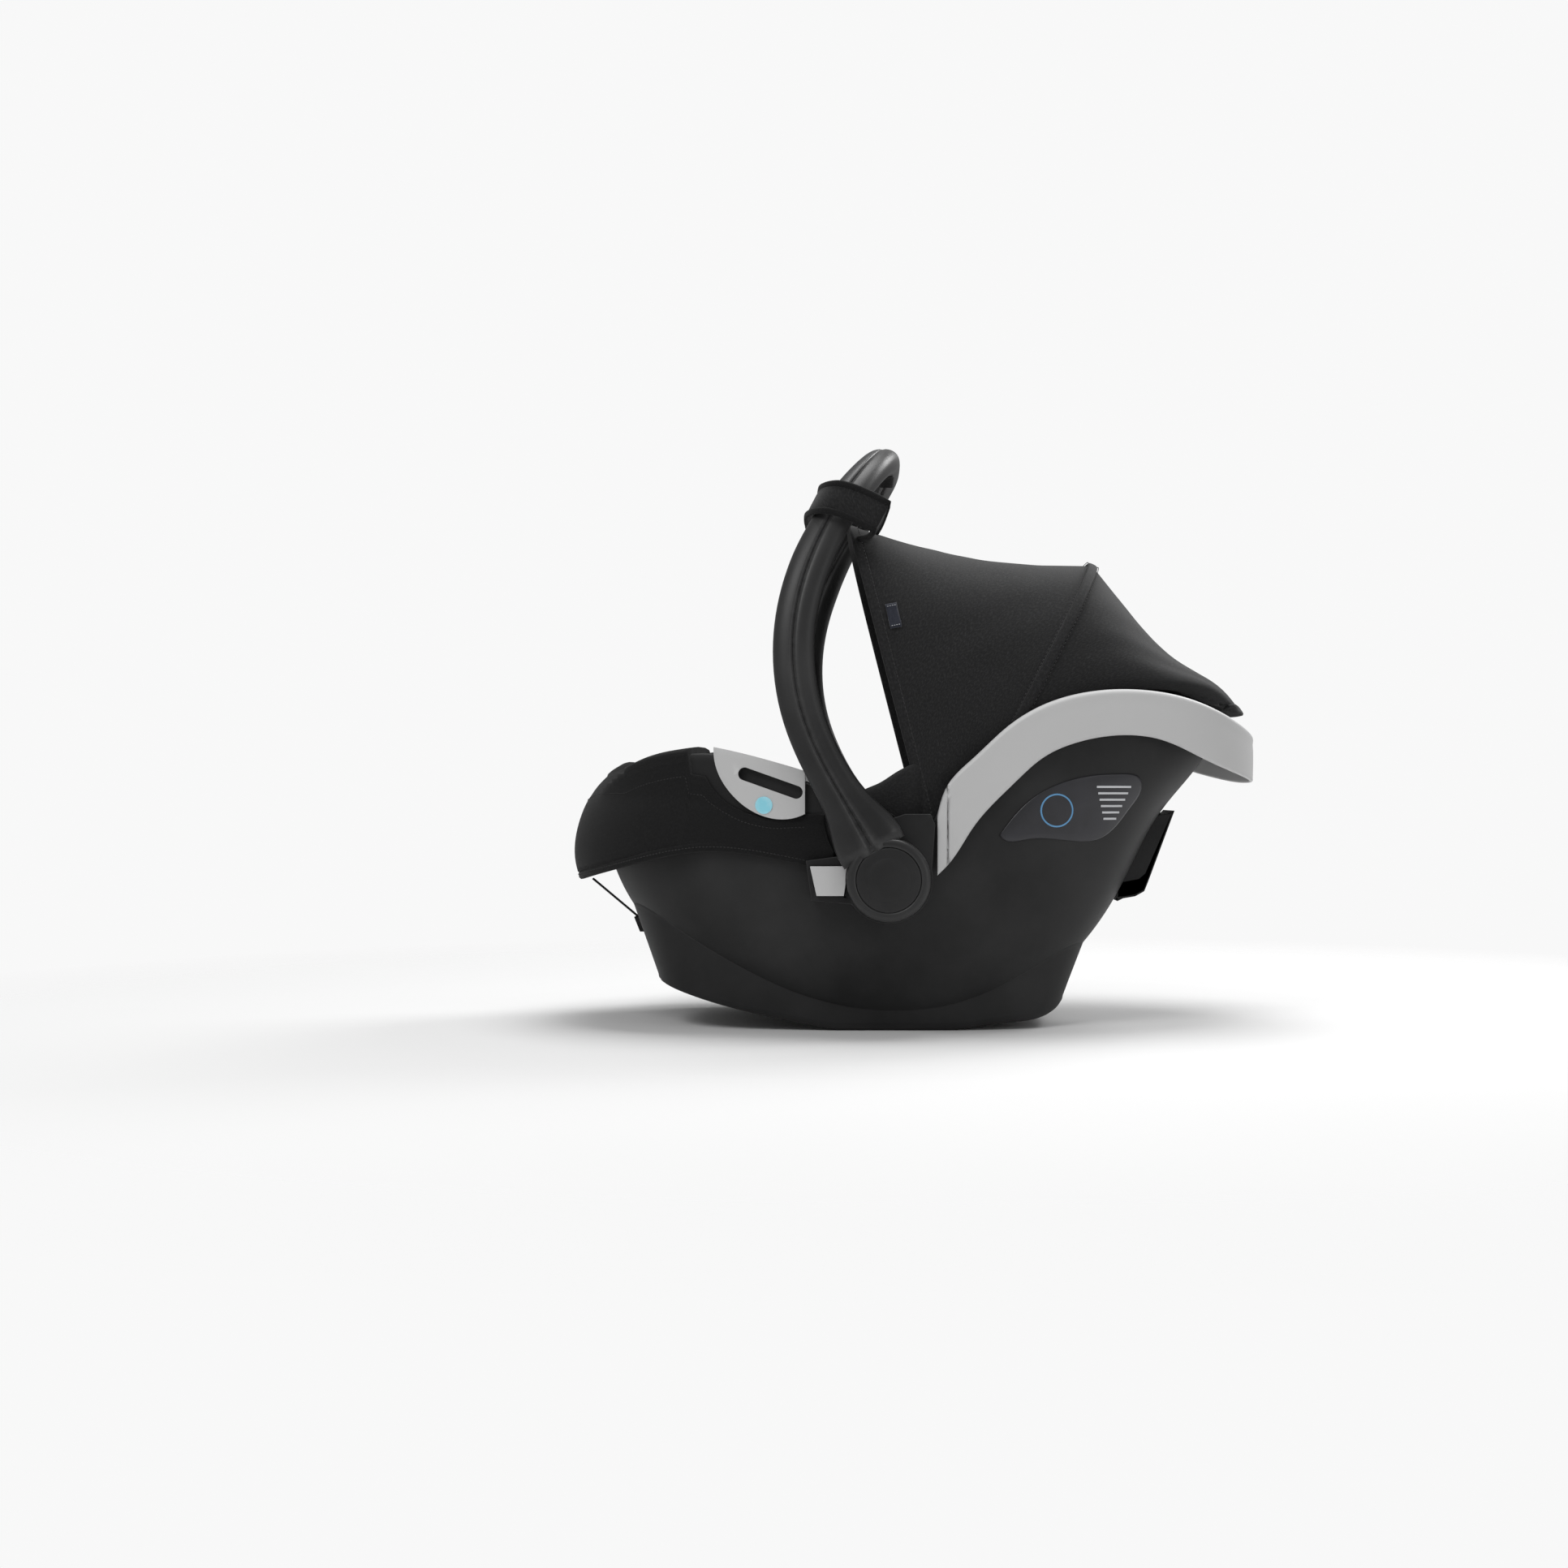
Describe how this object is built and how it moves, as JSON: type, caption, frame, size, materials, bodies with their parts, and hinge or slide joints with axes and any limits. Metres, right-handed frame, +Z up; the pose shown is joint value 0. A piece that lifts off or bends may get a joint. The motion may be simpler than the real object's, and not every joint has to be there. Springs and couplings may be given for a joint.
{
  "type": "infant car seat",
  "caption": "Rear-facing infant carrier seat: bucket tub on a rocker base, swinging carry handle, folding sun canopy, belt guides, padded liners and harness.",
  "frame": {"origin": "on the floor, under the middle of the whole seat's box", "axes": "+X to the head end, +Y to the occupant's right, +Z up; Y = 0 is the mirror plane"},
  "size_m": [0.6722, 0.436, 0.564],
  "materials": {
    "shell_plastic": "matte",
    "base_plastic": "matte",
    "handle_plastic": "satin",
    "cap_plastic": "satin",
    "hub_base_plastic": "matte",
    "trim_grey": "satin",
    "mark_blue": "satin",
    "label_film": "satin",
    "canopy_fabric": "matte",
    "cover_fabric": "matte",
    "liner_fabric": "matte",
    "insert_fabric": "matte",
    "foam_white": "matte",
    "webbing": "matte",
    "buckle_plastic": "satin",
    "button_red": "gloss",
    "steel": "satin",
    "bow_wire": "satin",
    "grip_rubber": "matte",
    "tag_navy": "matte"
  },
  "bodies": {
    "seat": {"tub_shell": "shell_plastic", "rocker_base": "base_plastic", "head_rim": "trim_grey", "belt_hook": "shell_plastic", "front_cover": "cover_fabric", "foam_liner": "foam_white", "seat_liner": "liner_fabric", "newborn_insert": "insert_fabric", "headrest_pad": "insert_fabric", "canopy_rear_panel": "canopy_fabric", "crotch_strap": "webbing", "crotch_pad": "insert_fabric", "buckle_body": "buckle_plastic", "adjuster_housing": "buckle_plastic", "cover_tie": "webbing", "tie_hook": "base_plastic", "belt_guide_left": "trim_grey", "belt_guide_right": "trim_grey", "belt_mark_left": "mark_blue", "belt_mark_right": "mark_blue", "label_plate_left": "label_film", "label_plate_right": "label_film", "hub_axle_left": "steel", "hub_axle_right": "steel", "hub_base_left": "hub_base_plastic", "hub_base_right": "hub_base_plastic", "canopy_socket_left": "base_plastic", "canopy_socket_right": "base_plastic", "shoulder_strap_left": "webbing", "shoulder_strap_right": "webbing", "shoulder_pad_left": "insert_fabric", "shoulder_pad_right": "insert_fabric", "buckle_tongue_left": "steel", "buckle_tongue_right": "steel", "liner_wing_left": "liner_fabric", "liner_wing_right": "liner_fabric"},
    "handle": {"handle_shell_front": "handle_plastic", "handle_shell_rear": "handle_plastic", "grip_pad": "grip_rubber", "hub_housing_left": "handle_plastic", "hub_housing_right": "handle_plastic", "hub_cap_left": "cap_plastic", "hub_cap_right": "cap_plastic"},
    "canopy_bow": {"canopy_bow": "bow_wire", "bow_end_left": "base_plastic", "bow_end_right": "base_plastic", "canopy_front_panel": "canopy_fabric", "canopy_handle_loop": "canopy_fabric", "canopy_tag": "tag_navy"},
    "handle_button_left": {"handle_button_left": "trim_grey"},
    "handle_button_right": {"handle_button_right": "trim_grey"},
    "buckle_button": {"buckle_button": "button_red"},
    "adjuster_button": {"adjuster_button": "trim_grey"}
  },
  "joints": [
    {"name": "handle_swing", "type": "hinge", "parent": "seat", "child": "handle", "pos_m": [-0.027, 0, 0.146], "axis": [0, 1, 0], "range_deg": [0, 105]},
    {"name": "canopy_fold", "type": "hinge", "parent": "seat", "child": "canopy_bow", "pos_m": [0.092, 0, 0.29], "axis": [0, 1, 0], "range_deg": [0, 50], "deforming": ["canopy_front_panel", "canopy_rear_panel", "canopy_handle_loop", "canopy_tag"]},
    {"name": "handle_button_left_press", "type": "slide", "parent": "seat", "child": "handle_button_left", "axis": [0, 1, 0], "range_m": [0, 0.005], "stiffness_N_per_m": 800, "springref_m": -0.004},
    {"name": "handle_button_right_press", "type": "slide", "parent": "seat", "child": "handle_button_right", "axis": [0, -1, 0], "range_m": [0, 0.005], "stiffness_N_per_m": 800, "springref_m": -0.004},
    {"name": "buckle_button_press", "type": "slide", "parent": "seat", "child": "buckle_button", "axis": [0.2582, 0, -0.9661], "range_m": [0, 0.003], "stiffness_N_per_m": 800, "springref_m": -0.004},
    {"name": "adjuster_button_press", "type": "slide", "parent": "seat", "child": "adjuster_button", "axis": [-0.6461, 0, -0.7633], "range_m": [0, 0.002], "stiffness_N_per_m": 800, "springref_m": -0.004}
  ]
}
